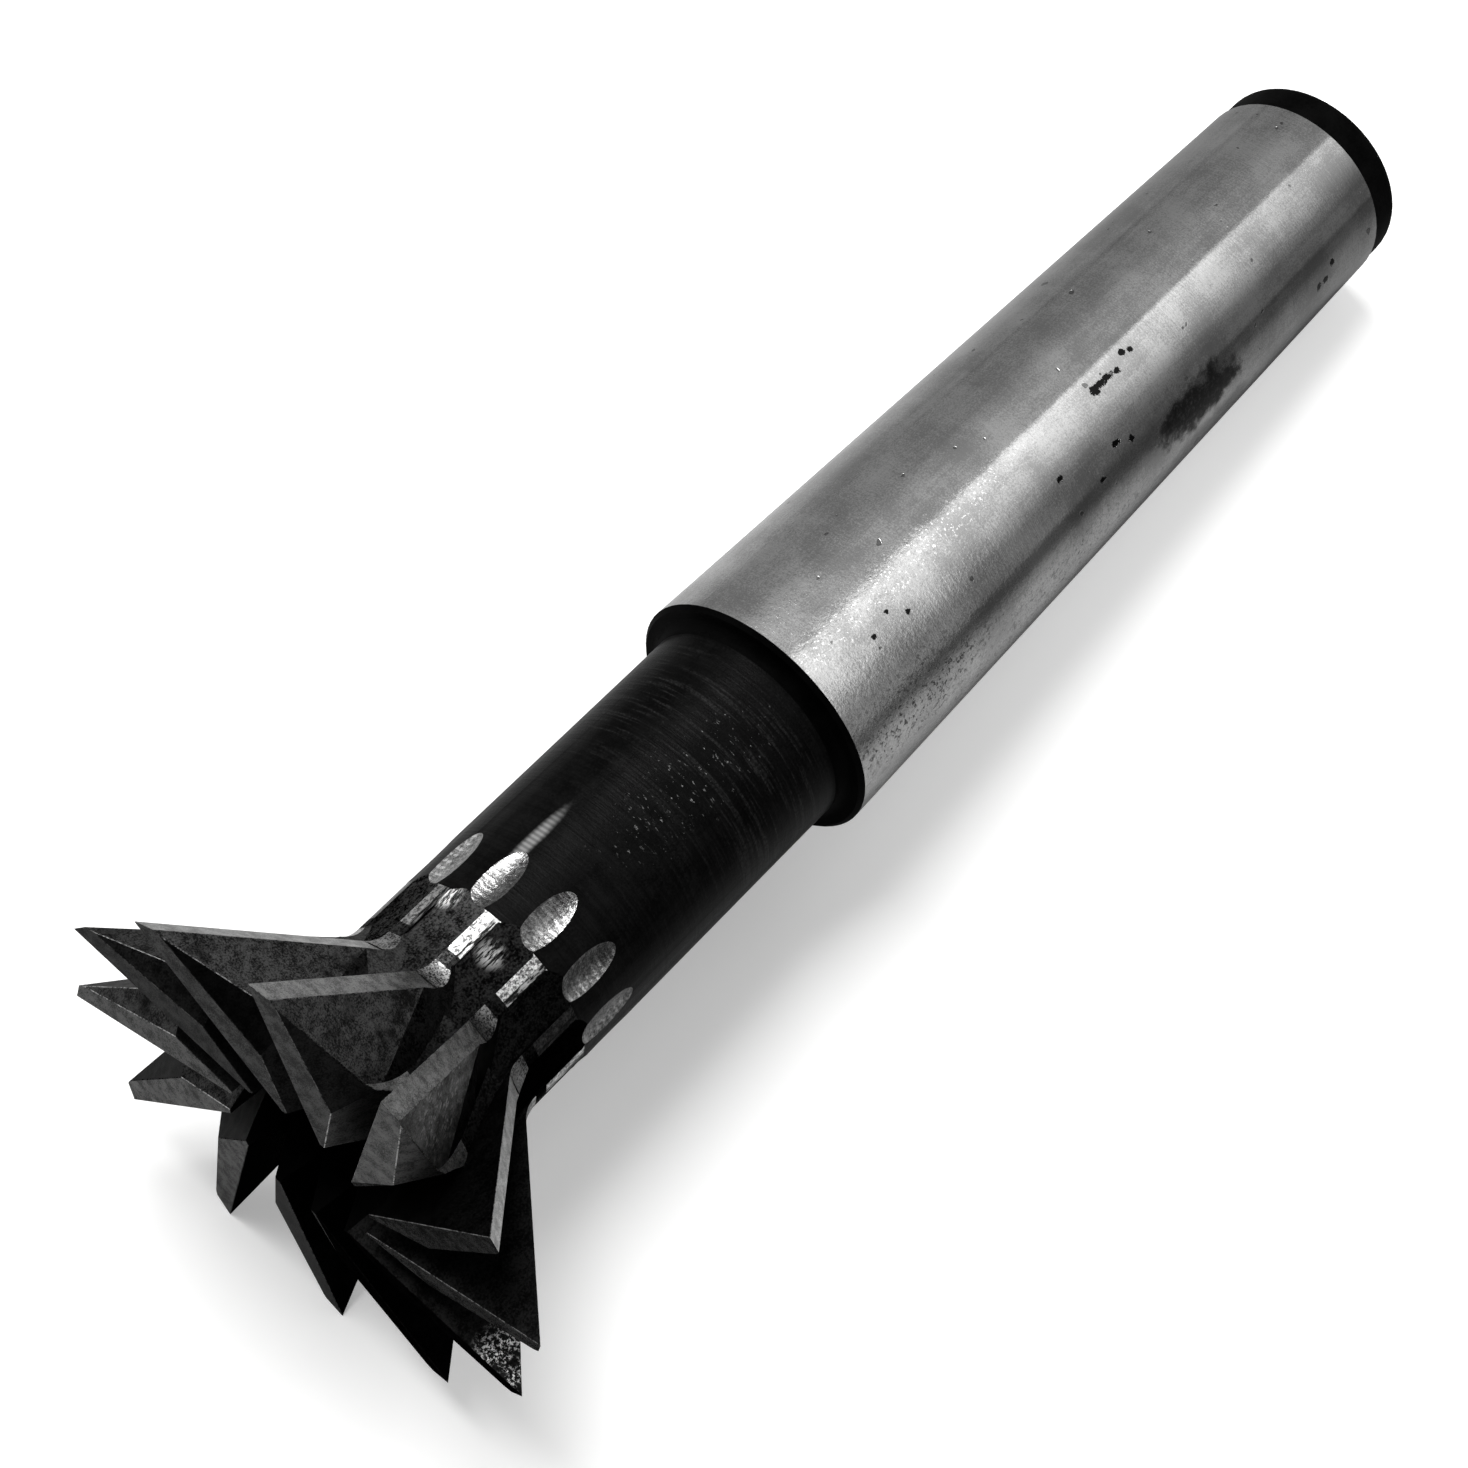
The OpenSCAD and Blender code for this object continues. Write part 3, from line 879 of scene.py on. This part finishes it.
# Studio
def add_floor():
    bm = bmesh.new()
    bmesh.ops.create_grid(bm, x_segments=1, y_segments=1, size=2.0)
    mesh = bpy.data.meshes.new("studio_floor")
    bm.to_mesh(mesh)
    bm.free()
    floor = bpy.data.objects.new("studio_floor", mesh)
    bpy.context.scene.collection.objects.link(floor)
    paper = bpy.data.materials.new("white_paper")
    paper.use_nodes = True
    w = Wiring(paper.node_tree)
    w.tree.nodes.clear()
    shader = w.add("ShaderNodeBsdfPrincipled")
    shader.inputs["Roughness"].default_value = 0.9
    shader.inputs["Specular IOR Level"].default_value = 0.1
    glow = w.add("ShaderNodeEmission")
    rays = w.add("ShaderNodeLightPath")
    # Painted light: for the camera only the paper glows, more towards the small end and further from the cutter, which
    # lightens the cast shadow there
    coordinates = w.add("ShaderNodeTexCoord")
    place = w.add("ShaderNodeSeparateXYZ", {0: coordinates.outputs["Object"]})
    away = w.add("ShaderNodeVectorMath", {0: coordinates.outputs["Object"]}, operation="LENGTH")
    near_glow = w.span(place.outputs[0], -0.04, 0.05, PAPER_GLOW, PAPER_GLOW + 0.2)
    lit = w.span(away.outputs["Value"], 0.2, 1.2, near_glow, 1.0)
    w.feed(glow.inputs["Strength"], w.math("MULTIPLY", rays.outputs["Is Camera Ray"], lit))
    # Painted shade: glossy rays see the paper darker, darkest in front of the cutter and towards the small end, so the
    # metal mirrors a shaded floor
    beyond = w.math("MAXIMUM", w.math("SUBTRACT", place.outputs[0], 0.02), 0.0)
    nearer = w.math("MULTIPLY_ADD", beyond, -0.75, place.outputs[1])
    painted_mirror_shade = w.span(nearer, -0.16, -0.03, 0.17, 0.5)
    painted_mirror_shade = w.math("MULTIPLY", painted_mirror_shade, w.span(place.outputs[0], 0.0, 0.08, 1.0, 0.5))
    white = w.blend(rays.outputs["Is Glossy Ray"], grey(0.86), painted_mirror_shade)
    w.feed(shader.inputs["Base Color"], white)
    both = w.add("ShaderNodeAddShader")
    w.tree.links.new(shader.outputs[0], both.inputs[0])
    w.tree.links.new(glow.outputs[0], both.inputs[1])
    out = w.add("ShaderNodeOutputMaterial")
    w.tree.links.new(both.outputs[0], out.inputs[0])
    mesh.materials.append(paper)
    return floor


def add_softbox(name, place, aim, width, height, power):
    light = bpy.data.lights.new(name, "AREA")
    light.shape = "RECTANGLE"
    light.size = width
    light.size_y = height
    light.energy = power
    lamp = bpy.data.objects.new(name, light)
    bpy.context.scene.collection.objects.link(lamp)
    lamp.location = place
    lamp.rotation_euler = (Vector(aim) - Vector(place)).to_track_quat("-Z", "Y").to_euler()
    return lamp


PAPER_GLOW = 0.25

# Brightness of the studio round the shank's axis, by angle from straight up; negative is the front side
STUDIO_ROUND = (
    (-180, 0.1),
    (-100, 0.17),
    (-84, 0.19),
    (-68, 0.22),
    (-60, 0.34),
    (-50, 0.62),
    (-40, 1.0),
    (-28, 1.35),
    (-14, 1.65),
    (-1, 2.0),
    (1, 0.74),
    (24, 0.68),
    (38, 0.58),
    (54, 0.4),
    (74, 0.34),
    (100, 0.34),
    (180, 0.1),
)


def add_world():
    world = bpy.data.worlds.new("studio")
    bpy.context.scene.world = world
    world.use_nodes = True
    w = Wiring(world.node_tree)
    background = world.node_tree.nodes["Background"]
    place = w.add("ShaderNodeTexCoord")
    parts = w.add("ShaderNodeSeparateXYZ", {0: place.outputs["Generated"]})
    x, y, z = parts.outputs
    angle = w.math("DEGREES", w.math("ARCTAN2", y, z))
    ramp = w.add("ShaderNodeValToRGB", {"Fac": w.math("MULTIPLY_ADD", angle, 1 / 360, 0.5)})
    stops = ramp.color_ramp.elements
    while len(stops) > 1:
        stops.remove(stops[-1])
    for number, (degrees, value) in enumerate(STUDIO_ROUND):
        stop = stops[0] if number == 0 else stops.new(degrees / 360 + 0.5)
        stop.position = degrees / 360 + 0.5
        stop.color = (value / 2, value / 2, value / 2, 1)
    shank_side = w.math("MULTIPLY", w.span(x, 0.2, 0.42), w.span(x, 0.84, 0.97, 1.0, 0.0))
    room = w.span(y, -0.5, 0.7, 0.06, 0.22)
    room_colour = w.add("ShaderNodeCombineColor", {"Red": room, "Green": room, "Blue": room})
    # The front of the room is lighter towards the shoulder than towards the small end
    shoulder_end = w.math("MULTIPLY", w.span(x, 0.38, 0.47), w.span(x, 0.5, 0.64, 1.0, 0.0))
    front = w.math("MULTIPLY", w.span(angle, -125.0, -100.0), w.span(angle, -50.0, -25.0, 1.0, 0.0))
    lift = w.math("MULTIPLY_ADD", w.math("MULTIPLY_ADD", front, 1.3, 0.3), shoulder_end, w.span(x, 0.715, 0.75, 1.0, 0.66))
    lifted = w.add("ShaderNodeVectorMath", {0: ramp.outputs["Color"], "Scale": lift}, operation="SCALE")
    colour = w.blend(shank_side, room_colour.outputs[0], lifted.outputs[0])
    rays = w.add("ShaderNodeLightPath")
    colour = w.blend(rays.outputs["Is Camera Ray"], colour, grey(0.5))
    w.feed(background.inputs["Color"], colour)
    background.inputs["Strength"].default_value = 2.0
    return world


def add_camera():
    data = bpy.data.cameras.new("camera")
    data.sensor_fit = "HORIZONTAL"
    data.sensor_width = 36.0
    data.lens = 77.80
    data.clip_start = 0.01
    camera = bpy.data.objects.new("camera", data)
    bpy.context.scene.collection.objects.link(camera)
    camera.location = (-0.114622, -0.053092, 0.262915)
    camera.rotation_euler = (math.radians(23.94456), math.radians(-5.48746), math.radians(-49.32303))
    bpy.context.scene.camera = camera
    return camera


add_floor()
add_world()
add_softbox("window", (0.1, 0.42, 1.0), (0, 0, 0.02), 0.56, 0.56, 12.5)
add_camera()
bpy.context.scene.view_settings.view_transform = "Standard"
